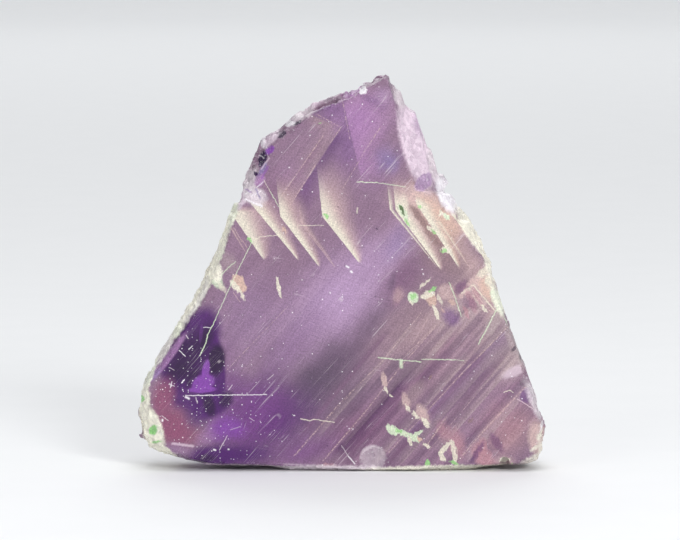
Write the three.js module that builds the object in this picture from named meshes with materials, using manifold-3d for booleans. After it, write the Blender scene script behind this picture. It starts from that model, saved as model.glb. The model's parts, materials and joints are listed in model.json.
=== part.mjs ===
// A polished slab of purple fluorite that stands on the flat of its lower edge.
// The frame is in millimetres: +X to the right of the polished face, +Y from that face to the back, +Z up,
// with the origin under the middle of the slab.
import * as THREE from "three";
import { ImprovedNoise } from "three/addons/math/ImprovedNoise.js";
import { mergeVertices } from "three/addons/utils/BufferGeometryUtils.js";
import Module from "manifold-3d";

const wasm = await Module();
wasm.setup();

// ---- driving sizes ----
const THICKNESS = 16; // between the polished face and the sawn back
const FRONT = -THICKNESS / 2;
const BACK = THICKNESS / 2;
const RIM_DEPTH = 4.6; // how far behind the face the broken rim reaches its full width
const BACK_CHAMFER = 0.9; // how much smaller the back is than the widest section
const STATION_SPACING = 1.9; // longest step round the outline
const ROUGHNESS = 0.26; // how far the broken rim strays from its outline
const HEART = [1.5, 30]; // both outlines can be seen whole from this point, as [x, z]
const BASE_SPAN = [-14, 29]; // the stretch of the lower edge that stays flat to stand on, in X

// The widest section of the slab, clockwise from the tip, as [x, z].
const RIM = [
  [8.6, 79.5], [9.3, 78.8], [9.6, 77.3], [10.4, 77.0], [10.9, 76.2], [11.6, 76.2],
  [12.4, 73.5], [13.4, 72.3], [14.6, 71.7], [17.0, 64.6], [17.8, 64.0], [19.3, 59.1],
  [20.3, 58.9], [21.6, 57.2], [22.8, 53.6], [25.8, 49.8], [29.4, 42.5], [31.6, 34.6],
  [34.9, 25.8], [37.6, 18.0], [40.2, 11.1], [41.1, 7.1], [40.2, 3.3], [39.1, 1.9],
  [37.3, 1.1], [30.5, 0.7], [25.5, -0.3], [8.5, -0.4], [-10.5, -0.3], [-14.5, 0.7],
  [-26.9, 0.8], [-32.3, 2.0], [-38.9, 4.2], [-40.9, 6.8], [-41.1, 12.6], [-39.7, 18.4],
  [-38.8, 20.4], [-34.4, 26.8], [-28.6, 37.0], [-25.2, 43.9], [-22.8, 51.3],
  [-17.7, 62.5], [-16.2, 66.2], [-12.5, 68.4], [-7.5, 72.8], [-0.1, 75.3], [5.1, 77.9],
  [7.1, 78.9],
];

// The edge of the polished face, in the same order.
const FACE = [
  [8.6, 79.2], [9.2, 78.4], [14.4, 57.0], [17.9, 56.2], [20.1, 51.9], [22.1, 51.3],
  [28.9, 41.7], [30.1, 36.7], [32.1, 31.7], [34.5, 25.5], [37.1, 17.7], [39.3, 10.7],
  [39.1, 6.3], [37.3, 2.4], [33.9, 1.6], [21.9, 1.3], [14.5, 0.6], [2.5, 0.6],
  [-7.5, 1.1], [-20.5, 1.6], [-26.7, 1.8], [-31.7, 3.1], [-35.3, 4.7], [-36.1, 8.1],
  [-38.1, 12.7], [-39.3, 17.1], [-38.8, 18.3], [-35.7, 21.7], [-31.5, 28.7],
  [-27.9, 33.9], [-24.7, 40.7], [-23.1, 46.1], [-21.9, 51.3], [-18.1, 56.5],
  [-15.3, 61.9], [-13.3, 65.8], [-9.1, 69.2], [-6.3, 71.8], [-2.3, 73.4], [2.9, 75.6],
];

// ---- helpers ----
const noise = new ImprovedNoise();

// A repeatable stream of numbers from 0 to 1.
function stream(seed) {
  let state = seed;
  return () => {
    state = (state * 1664525 + 1013904223) % 4294967296;
    return state / 4294967296;
  };
}

const between = ([low, high], share) => low + (high - low) * share;

function asSolid(geometry) {
  const bare = geometry.clone();
  bare.deleteAttribute("normal");
  bare.deleteAttribute("uv");
  const merged = mergeVertices(bare, 1e-4);
  return new wasm.Manifold(
    new wasm.Mesh({
      numProp: 3,
      vertProperties: merged.attributes.position.array,
      triVerts: new Uint32Array(merged.index.array),
    }),
  );
}

function asGeometry(solid) {
  const mesh = solid.getMesh();
  const geometry = new THREE.BufferGeometry();
  geometry.setAttribute("position", new THREE.BufferAttribute(mesh.vertProperties, mesh.numProp));
  geometry.setIndex(new THREE.BufferAttribute(mesh.triVerts, 1));
  const flat = geometry.toNonIndexed();
  flat.computeVertexNormals();
  return flat;
}

const angleOf = ([x, z]) => Math.atan2(z - HEART[1], x - HEART[0]);

// How far an outline lies from the heart in the direction of an angle.
function reach(outline, angle) {
  const dx = Math.cos(angle);
  const dz = Math.sin(angle);
  let best = 0;
  outline.forEach(([ax, az], i) => {
    const [bx, bz] = outline[(i + 1) % outline.length];
    const ex = bx - ax;
    const ez = bz - az;
    const across = dx * ez - dz * ex;
    if (Math.abs(across) < 1e-9) return;
    const along = ((ax - HEART[0]) * ez - (az - HEART[1]) * ex) / across;
    const share = ((ax - HEART[0]) * dz - (az - HEART[1]) * dx) / across;
    if (along > 0 && share > -1e-6 && share < 1 + 1e-6) best = Math.max(best, along);
  });
  return best;
}

// Every corner of both outlines has a station, and long stretches between are divided.
function stationAngles() {
  const corners = [...RIM, ...FACE].map(angleOf).sort((a, b) => a - b);
  const kept = corners.filter((a, i) => i === 0 || a - corners[i - 1] > 0.004);
  return kept.flatMap((from, i) => {
    const to = i + 1 < kept.length ? kept[i + 1] : kept[0] + 2 * Math.PI;
    const steps = Math.ceil(((to - from) * reach(RIM, from)) / STATION_SPACING);
    return Array.from({ length: steps }, (_, k) => from + ((to - from) * k) / steps);
  });
}

// ---- the slab with its broken rim ----
// Rings of points run from the polished face to the back, and each station keeps its angle.
function slabBlock() {
  const rings = [
    { y: FRONT, spread: 0, rough: 0.12 },
    { y: FRONT + 0.3 * RIM_DEPTH, spread: 0.42, rough: 0.7 },
    { y: FRONT + 0.65 * RIM_DEPTH, spread: 0.78, rough: 1 },
    { y: FRONT + RIM_DEPTH, spread: 1, rough: 0.8 },
    { y: FRONT + RIM_DEPTH + 3.4, spread: 0.99, rough: 1.3 },
    { y: BACK - 2.6, spread: 0.98, rough: 1.3 },
    { y: BACK - 0.9, spread: 0.97, rough: 0.9 },
    { y: BACK, spread: 0.96, inset: BACK_CHAMFER, rough: 0.6 },
  ];
  const angles = stationAngles();
  const count = angles.length;
  const points = [];
  rings.forEach((ring, r) => {
    angles.forEach((angle) => {
      const inner = reach(FACE, angle);
      const outer = reach(RIM, angle);
      const wander = noise.noise(9 * Math.cos(angle), 9 * Math.sin(angle), 3.7 * r + 0.5);
      const grain = noise.noise(31 * Math.cos(angle), 31 * Math.sin(angle), 5.1 * r + 0.5);
      const stray = ring.rough * ROUGHNESS * (wander + 1.1 * grain);
      const radius = inner + ring.spread * (outer - inner) + stray - (ring.inset ?? 0);
      const lean = r === 0 || r === rings.length - 1 ? 0 : 0.5 * grain;
      points.push(HEART[0] + radius * Math.cos(angle), ring.y + lean, HEART[1] + radius * Math.sin(angle));
    });
  });
  const triangles = [];
  for (let r = 0; r + 1 < rings.length; r++) {
    for (let k = 0; k < count; k++) {
      const a = r * count + k;
      const b = r * count + ((k + 1) % count);
      triangles.push(a, b + count, b, a, a + count, b + count);
    }
  }
  const frontHeart = points.length / 3;
  points.push(HEART[0], FRONT, HEART[1]);
  points.push(HEART[0], BACK, HEART[1]);
  const lastRing = (rings.length - 1) * count;
  for (let k = 0; k < count; k++) {
    const next = (k + 1) % count;
    triangles.push(frontHeart, k, next);
    triangles.push(frontHeart + 1, lastRing + next, lastRing + k);
  }
  const geometry = new THREE.BufferGeometry();
  geometry.setAttribute("position", new THREE.Float32BufferAttribute(points, 3));
  geometry.setIndex(triangles);
  return asSolid(geometry);
}

// ---- cleavage ----
// How the cube axes of the crystal lie in the slab: its cleavage follows the faces of an octahedron along them.
const degrees = THREE.MathUtils.degToRad;
const CRYSTAL = new THREE.Quaternion().setFromEuler(new THREE.Euler(degrees(61), degrees(7.5), degrees(44)));

// The steps beside the tip run along this edge of the face, and end at a crack that crosses their foot.
const STEP_TOP = [9.2, 78.4];
const STEP_FOOT = [14.4, 57.0];
const CRACK_FALL = degrees(11); // how the crack at the foot drops to the right
// The steps in section, as [distance out from the edge, depth behind the face].
const STEP_SECTION = [
  [0, 0], [3.7, 4.1], [3.9, 5.5], [5.4, 6.6], [5.5, 8.6], [7.4, 9.8], [7.6, 11.6], [30, 20], [30, -3], [-3, -3],
];
const BEYOND = 60; // longer than anything that a cutter has to cross

function besideTip() {
  const rise = STEP_TOP[1] - STEP_FOOT[1];
  const shift = STEP_TOP[0] - STEP_FOOT[0];
  const corners = STEP_SECTION.map(([out, depth]) => new THREE.Vector2(out, FRONT + depth));
  const steps = new THREE.ExtrudeGeometry(new THREE.Shape(corners), { depth: 2 * BEYOND, bevelEnabled: false });
  steps.translate(0, 0, -BEYOND);
  steps.rotateY(Math.atan2(shift, rise));
  steps.translate(STEP_FOOT[0], 0, STEP_FOOT[1]);
  const belowCrack = new THREE.BoxGeometry(4 * BEYOND, 2 * BEYOND, 2 * BEYOND);
  belowCrack.translate(0, 0, -BEYOND);
  belowCrack.rotateY(CRACK_FALL);
  belowCrack.translate(STEP_FOOT[0], 0, STEP_FOOT[1]);
  return asSolid(steps).subtract(asSolid(belowCrack));
}

// The rim at an angle from the heart: the point there and its outward normal.
function rimAt(angle, spread) {
  const radius = (turn) => reach(FACE, turn) + spread * (reach(RIM, turn) - reach(FACE, turn));
  const at = (turn) => new THREE.Vector3(Math.cos(turn), 0, Math.sin(turn)).multiplyScalar(radius(turn));
  const along = at(angle + 0.03).sub(at(angle - 0.03)).normalize();
  const point = at(angle).add(new THREE.Vector3(HEART[0], 0, HEART[1]));
  return { point, outward: new THREE.Vector3(along.z, 0, -along.x), radius: radius(angle) };
}

const onBase = ({ x, z }) => z < 2 && x > BASE_SPAN[0] && x < BASE_SPAN[1];
const besideSteps = ({ x, z }) => z > STEP_FOOT[1] - 1 && x > STEP_TOP[0] - 1;

// Goes round the rim and makes a cut every so often, except where a place is kept whole.
function aroundRim({ seed, spacing, spread, depths }, isWhole, makeCut) {
  const random = stream(seed);
  const cuts = [];
  for (let angle = -Math.PI; angle < Math.PI; ) {
    const rim = rimAt(angle, spread);
    rim.point.y = FRONT + between(depths, random());
    const cut = makeCut(rim, random);
    if (!isWhole(rim.point)) cuts.push(asSolid(cut));
    angle += (spacing * (0.5 + random())) / rim.radius;
  }
  return cuts;
}

// The directions in which the crystal parts.
const CLEAVAGE_NORMALS = [-1, 1].flatMap((a) =>
  [-1, 1].flatMap((b) => [-1, 1].map((c) => new THREE.Vector3(a, b, c).normalize())),
);

// Broken ledges: each is an octahedron along the crystal's axes, sunk a little into the rim, so that all
// the ledges share the same few directions. Some follow the rim closely, and some cut across it as a notch.
function ledges({ sizes, bites, notched, ...round }) {
  const isWhole = (point) => onBase(point) || besideSteps(point);
  return aroundRim(round, isWhole, ({ point, outward }, random) => {
    const size = between(sizes, random());
    const bite = between(bites, random());
    const rank = random() < notched ? 1 : 0;
    const slide = new THREE.Vector3(random(), random(), random()).subScalar(0.5).multiplyScalar(0.6 * size);
    const facing = (normal) => normal.clone().applyQuaternion(CRYSTAL).dot(outward);
    const inner = [...CLEAVAGE_NORMALS].sort((a, b) => facing(a) - facing(b))[rank];
    const centre = inner.clone().multiplyScalar(bite - size / Math.sqrt(3));
    centre.add(slide.projectOnPlane(inner)).applyQuaternion(CRYSTAL).add(point);
    const block = new THREE.OctahedronGeometry(size);
    block.applyQuaternion(CRYSTAL);
    block.translate(centre.x, centre.y, centre.z);
    return block;
  });
}

// Flake scars along an edge of the slab: shallow bites of large icosahedra, each turned its own way.
function flakes({ sizes, bites, lean, ...round }) {
  const isWhole = (point) => besideSteps(point) && point.y < 0;
  return aroundRim(round, isWhole, ({ point, outward }, random) => {
    const size = between(sizes, random() ** 2);
    const bite = between(bites, random()) * (onBase(point) ? 0.3 : 1);
    const inward = outward.clone().negate();
    inward.y = lean + 0.3 * (random() - 0.5);
    const centre = point.clone().addScaledVector(inward.normalize(), bite - size);
    const flake = new THREE.IcosahedronGeometry(size);
    flake.rotateX(6 * random());
    flake.rotateY(6 * random());
    flake.translate(centre.x, centre.y, centre.z);
    return flake;
  });
}

// A shell-shaped bruise where the stone flaked at the foot of the face.
const BRUISE = { x: 6.4, z: 1.9, radius: 3.1, depth: 0.75, rough: 0.035 };

function bruise() {
  const ball = (BRUISE.radius ** 2 + BRUISE.depth ** 2) / (2 * BRUISE.depth);
  const scar = new THREE.IcosahedronGeometry(ball, 6);
  const corners = scar.attributes.position;
  for (let i = 0; i < corners.count; i++) {
    const corner = new THREE.Vector3().fromBufferAttribute(corners, i);
    const swell = 1 + BRUISE.rough * noise.noise(corner.x / 1.3, corner.y / 1.3, corner.z / 1.3);
    corners.setXYZ(i, corner.x * swell, corner.y * swell, corner.z * swell);
  }
  scar.translate(BRUISE.x, FRONT + BRUISE.depth - ball, BRUISE.z);
  return asSolid(scar);
}

// What lies under the flat that the slab stands on.
function belowGround() {
  const ground = new THREE.BoxGeometry(4 * BEYOND, 4 * BEYOND, BEYOND);
  ground.translate(0, 0, -BEYOND / 2);
  return asSolid(ground);
}

function fluoriteSlab() {
  const cuts = [
    besideTip(),
    ...ledges({
      seed: 5, spacing: 4, spread: 0.8, depths: [3, 5.5], sizes: [2.2, 4.6], bites: [0.15, 0.45], notched: 0.1,
    }),
    ...ledges({
      seed: 23, spacing: 3.4, spread: 0.99, depths: [6, 10], sizes: [3.5, 8], bites: [0.3, 0.9], notched: 0.2,
    }),
    ...ledges({
      seed: 31, spacing: 3.6, spread: 0.97, depths: [11, 15], sizes: [3.5, 8], bites: [0.3, 1], notched: 0.2,
    }),
    ...flakes({ seed: 7, spacing: 2.2, spread: 0.1, depths: [0, 0.6], sizes: [1.2, 4], bites: [0.15, 0.5], lean: 0.9 }),
    ...flakes({ seed: 19, spacing: 4, spread: 0.6, depths: [1.2, 3], sizes: [2, 5], bites: [0.15, 0.45], lean: 0.7 }),
    ...flakes({ seed: 41, spacing: 3, spread: 1, depths: [15.6, 16], sizes: [2, 7], bites: [0.8, 1.7], lean: -0.9 }),
    bruise(),
    belowGround(),
  ];
  return cuts.reduce((solid, cut) => solid.subtract(cut), slabBlock());
}

// Puts the origin under the middle of the stone.
function centred(geometry) {
  geometry.computeBoundingBox();
  const middle = geometry.boundingBox.getCenter(new THREE.Vector3());
  return geometry.translate(-middle.x, -middle.y, -geometry.boundingBox.min.z);
}

const stone = new THREE.MeshStandardMaterial({ color: 0x7d6386, roughness: 0.35, metalness: 0 });
const slab = new THREE.Mesh(centred(asGeometry(fluoriteSlab())), stone);
slab.name = "fluorite_slab";

const group = new THREE.Group();
group.add(slab);

export default group;
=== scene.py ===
# The fluorite slab: its fine stone mesh, its zoned colours and finishes, and a pale studio round it.
import bpy
import json
import math
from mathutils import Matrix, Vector

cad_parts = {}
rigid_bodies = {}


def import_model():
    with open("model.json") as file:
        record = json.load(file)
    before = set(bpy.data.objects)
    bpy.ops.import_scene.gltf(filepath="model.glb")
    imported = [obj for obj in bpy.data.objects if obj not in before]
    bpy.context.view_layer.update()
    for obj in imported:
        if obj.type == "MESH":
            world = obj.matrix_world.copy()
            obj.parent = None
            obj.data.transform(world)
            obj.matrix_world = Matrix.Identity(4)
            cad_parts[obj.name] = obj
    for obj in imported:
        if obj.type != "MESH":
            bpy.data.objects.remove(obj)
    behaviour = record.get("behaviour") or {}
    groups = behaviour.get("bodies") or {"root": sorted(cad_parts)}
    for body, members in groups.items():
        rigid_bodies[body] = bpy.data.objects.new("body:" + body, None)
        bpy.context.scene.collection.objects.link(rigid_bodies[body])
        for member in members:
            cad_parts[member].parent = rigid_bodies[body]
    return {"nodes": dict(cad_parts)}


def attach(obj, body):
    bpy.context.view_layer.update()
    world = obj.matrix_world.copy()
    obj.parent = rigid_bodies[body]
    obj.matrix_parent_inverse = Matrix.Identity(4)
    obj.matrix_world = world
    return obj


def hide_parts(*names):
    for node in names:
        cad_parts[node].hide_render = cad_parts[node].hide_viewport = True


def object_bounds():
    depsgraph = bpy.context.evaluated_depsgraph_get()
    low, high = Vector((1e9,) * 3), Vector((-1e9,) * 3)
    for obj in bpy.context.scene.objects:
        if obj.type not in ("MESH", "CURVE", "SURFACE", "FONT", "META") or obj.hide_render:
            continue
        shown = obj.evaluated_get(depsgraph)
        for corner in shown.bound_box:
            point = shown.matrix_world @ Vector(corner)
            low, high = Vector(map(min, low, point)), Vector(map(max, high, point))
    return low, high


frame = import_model()
cadLow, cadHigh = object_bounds()
bpy.ops.object.select_all(action="DESELECT")
mm = 0.001
print("frame loaded: the solid is", [round(side / mm, 1) for side in cadHigh - cadLow], "mm")

cameraSetup = {
    "width": 136 * mm,  # what the frame takes in at the polished face
    "distance": 1.0,
    "elevation": 5.0,  # degrees above the horizon
    "aimX": -0.5 * mm,
    "aimZ": 40.66 * mm,
    "sensor": 36.0,
    "clip": (0.01, 20.0),
}


def makeCamera(setup):
    data = bpy.data.cameras.new("studioCamera")
    camera = bpy.data.objects.new("studioCamera", data)
    bpy.context.scene.collection.objects.link(camera)
    tilt = math.radians(setup["elevation"])
    aim = Vector((setup["aimX"], cadLow.y, setup["aimZ"]))
    back = Vector((0, -math.cos(tilt), math.sin(tilt)))
    camera.location = aim + back * setup["distance"]
    camera.rotation_euler = (math.pi / 2 - tilt, 0, 0)
    data.sensor_width = setup["sensor"]
    data.lens = setup["sensor"] * setup["distance"] / setup["width"]
    data.clip_start, data.clip_end = setup["clip"]
    bpy.context.scene.camera = camera


makeCamera(cameraSetup)
print("camera placed")

stoneShape = {
    "joinWithin": 0.01 * mm,
    "voxel": 0.3 * mm,
    "flatWithin": 0.05 * mm,  # how close to the face, the back or the foot a point counts as on it
    "levelWithin": 1e-7,  # the same for a facet that is joined with its neighbours
    "facing": 0.9,  # how squarely a facet has to face forwards or backwards to count as the face or the back
    "rim": (0.12 * mm, 0.8 * mm),  # depth behind the face where the broken rim begins, and how it comes in
    "foot": (0.3, 1.2),  # the same above the foot, in mm
    "unevenBreak": {"noise_scale": 1.6 * mm, "noise_depth": 3, "strength": 0.22 * mm, "middle": 0.5},
    "crumbs": {"noise_scale": 0.9 * mm, "strength": 0.55 * mm, "middle": 0.35},
    "crumbShare": 1.6,
    "smoothAngle": 28,
    # where the broken rim is crumbly, as (x, z, reach in x, reach in z) in mm; elsewhere it has cleaved clean
    "crumbly": [
        (-30, 38, 9, 26), (-40, 8, 9, 14), (-17, 62, 9, 8), (29, 46, 6, 12), (41, 6, 6, 10), (0, 75, 9, 4),
    ],
}


def copyOfNode(node, name):
    stone = bpy.data.objects.new(name, node.data.copy())
    bpy.context.scene.collection.objects.link(stone)
    stone.data.materials.clear()
    bpy.context.view_layer.objects.active = stone
    stone.select_set(True)
    return stone


def applied(stone, kind, name, **settings):
    modifier = stone.modifiers.new(name, kind)
    for key, value in settings.items():
        setattr(modifier, key, value)
    bpy.ops.object.modifier_apply(modifier=modifier.name)


def roughen(stone, name, kind, where, strength, middle, **grain):  # moves a vertex group's points in and out
    texture = bpy.data.textures.new(name, kind)
    for key, value in grain.items():
        setattr(texture, key, value)
    applied(stone, "DISPLACE", name, texture=texture, texture_coords="LOCAL", strength=strength,
            mid_level=middle, vertex_group=where)


def held(value, low=0.0, high=1.0):
    return min(max(value, low), high)


def inBlob(x, z, blob):
    bx, bz, rx, rz = blob
    return max(0.0, 1 - math.hypot((x - bx) / rx, (z - bz) / rz))


def gather(stone, shape):  # vertex groups: the whole broken rim, and its crumbly places
    rim = stone.vertex_groups.new(name="rim")
    crumbly = stone.vertex_groups.new(name="crumbly")
    rimStart, rimFade = shape["rim"]
    footStart, footFade = shape["foot"]
    for point in stone.data.vertices:
        spot = point.co / mm
        inside = min(point.co.y - cadLow.y, cadHigh.y - point.co.y)
        share = held((inside - rimStart) / rimFade) * held((spot.z - footStart) / footFade)
        crumb = held(shape["crumbShare"] * max(inBlob(spot.x, spot.z, blob) for blob in shape["crumbly"]))
        rim.add([point.index], share, "REPLACE")
        crumbly.add([point.index], share * crumb, "REPLACE")


def flatten(stone, near):  # the face, the back and the foot stay flat, and the width stays as it is
    for point in stone.data.vertices:
        point.co.x = held(point.co.x, cadLow.x, cadHigh.x)
        if abs(point.co.y - cadLow.y) < near:
            point.co.y = cadLow.y
        if abs(point.co.y - cadHigh.y) < near:
            point.co.y = cadHigh.y
        if point.co.z < near:
            point.co.z = 0


def joinLevelFaces(stone, level, within):
    bpy.ops.object.mode_set(mode="EDIT")
    bpy.ops.mesh.select_all(action="DESELECT")
    bpy.ops.object.mode_set(mode="OBJECT")
    for face in stone.data.polygons:
        face.select = all(abs(stone.data.vertices[i].co.y - level) < within for i in face.vertices)
    bpy.ops.object.mode_set(mode="EDIT")
    bpy.ops.mesh.dissolve_faces()
    bpy.ops.mesh.mark_sharp()
    bpy.ops.object.mode_set(mode="OBJECT")


def makeStone(shape):
    stone = copyOfNode(frame["nodes"]["fluorite_slab"], "fluoriteStone")
    bpy.ops.object.mode_set(mode="EDIT")
    bpy.ops.mesh.select_all(action="SELECT")
    bpy.ops.mesh.remove_doubles(threshold=shape["joinWithin"])
    bpy.ops.object.mode_set(mode="OBJECT")
    applied(stone, "REMESH", "fineSkin", mode="VOXEL", voxel_size=shape["voxel"])
    gather(stone, shape)
    roughen(stone, "unevenBreak", "CLOUDS", "rim", **shape["unevenBreak"])
    roughen(stone, "crumbs", "VORONOI", "crumbly", **shape["crumbs"])
    stone.vertex_groups.clear()
    flatten(stone, shape["flatWithin"])
    for level in (cadLow.y, cadHigh.y):
        joinLevelFaces(stone, level, shape["levelWithin"])
    bpy.ops.object.shade_smooth_by_angle(angle=math.radians(shape["smoothAngle"]))
    return stone


stone = makeStone(stoneShape)
stone.data.calc_loop_triangles()
print("stone mesh:", len(stone.data.loop_triangles), "triangles")


def paint(red, green, blue):  # a colour as a paint chart gives it, 0 to 255, in Blender's linear values
    parts = [part / 255 for part in (red, green, blue)]
    return [((part + 0.055) / 1.055) ** 2.4 if part > 0.04 else part / 12.92 for part in parts] + [1.0]


def feed(tree, socket, value):
    if value is None:
        return
    if isinstance(value, bpy.types.NodeSocket):
        tree.links.new(value, socket)
    else:
        socket.default_value = value


def wire(tree, kind, *inputs, out=0, **settings):  # adds a node, fills its inputs in order, gives one output
    made = tree.nodes.new("ShaderNode" + kind)
    for key, value in settings.items():
        setattr(made, key, value)
    for number, value in enumerate(inputs):
        feed(tree, made.inputs[number], value)
    return made.outputs[out]


def maths(tree, operation, *inputs):
    return wire(tree, "Math", *inputs, operation=operation)


def times(tree, first, second):
    return maths(tree, "MULTIPLY", first, second)


def vector(tree, operation, *inputs):
    out = 1 if operation in ("DOT_PRODUCT", "DISTANCE") else 0
    return wire(tree, "VectorMath", *inputs, operation=operation, out=out)


def ramp(tree, value, start, end, low=0.0, high=1.0, kind="SMOOTHSTEP"):
    return wire(tree, "MapRange", value, start, end, low, high, interpolation_type=kind, clamp=False)


def mix(tree, share, under, over, how="MIX"):
    made = tree.nodes.new("ShaderNodeMix")
    made.data_type = "RGBA"
    made.blend_type = how
    # a Mix node's sockets for colours
    for socket, value in ((made.inputs[0], share), (made.inputs[6], under), (made.inputs[7], over)):
        feed(tree, socket, value)
    return made.outputs[2]


def newGroup(name, inputs, outputs):  # each socket as label:kind, f a number, v a vector, c a colour
    tree = bpy.data.node_groups.new(name, "ShaderNodeTree")
    kinds = {"f": "NodeSocketFloat", "v": "NodeSocketVector", "c": "NodeSocketColor"}
    for sockets, side in ((inputs, "INPUT"), (outputs, "OUTPUT")):
        for socket in sockets.split():
            label, kind = socket.split(":")
            tree.interface.new_socket(name=label, in_out=side, socket_type=kinds[kind])
    given = tree.nodes.new("NodeGroupInput").outputs
    taken = tree.nodes.new("NodeGroupOutput").inputs
    return tree, given, taken


def place(tree, group, **values):  # puts a group on the tree and fills the sockets that are named
    made = tree.nodes.new("ShaderNodeGroup")
    made.node_tree = group
    for name, value in values.items():
        feed(tree, made.inputs[name], value)
    return made.outputs


def makeNoiseField():  # noise drawn out by "along" in the direction "turn"
    tree, given, taken = newGroup("noiseField", "point:v turn:f along:v scale:f detail:f rough:f",
                                  "value:f colour:c")
    turned = wire(tree, "VectorRotate", given["point"], None, None, given["turn"], rotation_type="Y_AXIS")
    made = tree.nodes.new("ShaderNodeTexNoise")
    feed(tree, made.inputs["Vector"], vector(tree, "MULTIPLY", turned, given["along"]))
    for name, socket in (("scale", "Scale"), ("detail", "Detail"), ("rough", "Roughness")):
        feed(tree, made.inputs[socket], given[name])
    feed(tree, taken["value"], made.outputs["Fac"])
    feed(tree, taken["colour"], made.outputs["Color"])
    return tree


def noise(tree, point, scale, detail=2.0, rough=0.5, turn=0.0, along=1.0):
    return place(tree, noiseField, point=point, turn=math.radians(turn), along=(along, 1.0, 1.0), scale=scale,
                 detail=detail, rough=rough)["value"]


def makePush():  # the same point, pushed about by noise
    tree, given, taken = newGroup("push", "point:v squash:v scale:f amount:v detail:f", "point:v")
    shift = place(tree, noiseField, point=given["point"], along=given["squash"], scale=given["scale"],
                  detail=given["detail"], rough=0.5)["colour"]
    shift = vector(tree, "MULTIPLY", vector(tree, "SUBTRACT", shift, (0.5, 0.5, 0.5)), given["amount"])
    feed(tree, taken["point"], vector(tree, "ADD", given["point"], shift))
    return tree


# each push of one point has a squash of its own: equal ones are joined when a render starts, and what hangs
# on them then needs more memory than a material has, which leaves the face black
def shaken(tree, point, scale, amount, detail=2.0, squash=(1.0, 0.5, 1.0)):
    return place(tree, push, point=point, squash=squash, scale=scale, amount=(2 * amount, 0.0, 2 * amount),
                 detail=detail)["point"]


def makeCells():  # broken cells: the distance to each one's middle and two chance numbers of its own
    tree, given, taken = newGroup("cells", "point:v scale:f", "away:f chance:f other:f")
    made = tree.nodes.new("ShaderNodeTexVoronoi")
    feed(tree, made.inputs["Vector"], given["point"])
    feed(tree, made.inputs["Scale"], given["scale"])
    parts = wire(tree, "SeparateXYZ", made.outputs["Color"]).node.outputs
    feed(tree, taken["away"], made.outputs["Distance"])
    feed(tree, taken["chance"], parts[0])
    feed(tree, taken["other"], parts[1])
    return tree


def makeFlecks():  # small round flecks in the flat of the face
    tree, given, taken = newGroup("flecks", "point:v scale:f size:f share:f", "mask:f")
    parts = wire(tree, "SeparateXYZ", given["point"]).node.outputs
    made = tree.nodes.new("ShaderNodeTexVoronoi")
    made.voronoi_dimensions = "2D"
    feed(tree, made.inputs["Vector"], wire(tree, "CombineXYZ", parts[0], parts[2], 0.0))
    feed(tree, made.inputs["Scale"], given["scale"])
    chance = wire(tree, "SeparateXYZ", made.outputs["Color"]).node.outputs
    shown = ramp(tree, chance[0], maths(tree, "SUBTRACT", 1.0, given["share"]), 1.0, kind="LINEAR")
    shown = maths(tree, "MAXIMUM", shown, 0.0)
    core = times(tree, given["size"], 0.3)
    dot = ramp(tree, made.outputs["Distance"], given["size"], core)
    feed(tree, taken["mask"], times(tree, dot, shown))
    return tree


def cover(tree, given, taken, mask):  # the colour laid over what is under it
    feed(tree, taken["over"], mix(tree, mask, given["under"], given["colour"]))


def makeSoftBlob():  # an oval of colour that fades out towards its reach
    tree, given, taken = newGroup("softBlob", "under:c point:v middle:v along:v across:v colour:c strength:f "
                                  "soft:f", "over:c mask:f")
    offset = vector(tree, "SUBTRACT", given["point"], given["middle"])
    along = vector(tree, "DOT_PRODUCT", offset, given["along"])
    across = vector(tree, "DOT_PRODUCT", offset, given["across"])
    away = maths(tree, "MULTIPLY_ADD", across, across, times(tree, along, along))
    away = maths(tree, "SQRT", away)
    inner = maths(tree, "SUBTRACT", 1.0, given["soft"])
    mask = times(tree, ramp(tree, away, 1.0, inner), given["strength"])
    feed(tree, taken["mask"], mask)
    cover(tree, given, taken, mask)
    return tree


def makeHairline():  # a thin straight line from start, for its length
    tree, given, taken = newGroup("hairline", "under:c point:v start:v along:v length:f width:f colour:c "
                                  "strength:f", "over:c")
    gone = vector(tree, "SUBTRACT", given["point"], given["start"])
    passed = maths(tree, "MAXIMUM", vector(tree, "DOT_PRODUCT", gone, given["along"]), 0.0)
    passed = maths(tree, "MINIMUM", passed, given["length"])
    nearest = wire(tree, "VectorMath", given["along"], None, None, passed, operation="SCALE")
    away = vector(tree, "DISTANCE", gone, nearest)
    cover(tree, given, taken, times(tree, ramp(tree, away, given["width"], 0.0), given["strength"]))
    return tree


def makeZoneEdge():  # colour that starts sharply on one side of a line and fades away from it
    tree, given, taken = newGroup("zoneEdge", "under:c point:v start:v along:v side:v length:f wide:f "
                                  "narrow:f crisp:f ends:f colour:c strength:f", "over:c")
    gone = vector(tree, "SUBTRACT", given["point"], given["start"])
    off = vector(tree, "DOT_PRODUCT", gone, given["side"])
    passed = vector(tree, "DOT_PRODUCT", gone, given["along"])
    width = ramp(tree, passed, 0.0, given["length"], given["wide"], given["narrow"], kind="LINEAR")
    mask = times(tree, ramp(tree, off, width, 0.0), ramp(tree, off, 0.0, given["crisp"]))
    left = maths(tree, "MINIMUM", passed, maths(tree, "SUBTRACT", given["length"], passed))
    mask = times(tree, mask, ramp(tree, left, 0.0, given["ends"]))
    cover(tree, given, taken, times(tree, mask, given["strength"]))
    return tree


flameShape = {
    "lean": 0.11,  # sideways for each mm that the upright part rises
    "taper": 0.7,  # under 1 keeps the band wide for longer on its way down
    "closed": 0.001,
    "crisp": 0.13,  # mm over which the left edge comes in
    "fullTo": 0.12,  # share of the width that has the full strength
    "tipFrom": 0.9,
    "liftHue": 0.5,  # how much sooner the upright part turns to the body's colour
    "hue": (0.1, 0.6),
}


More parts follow.
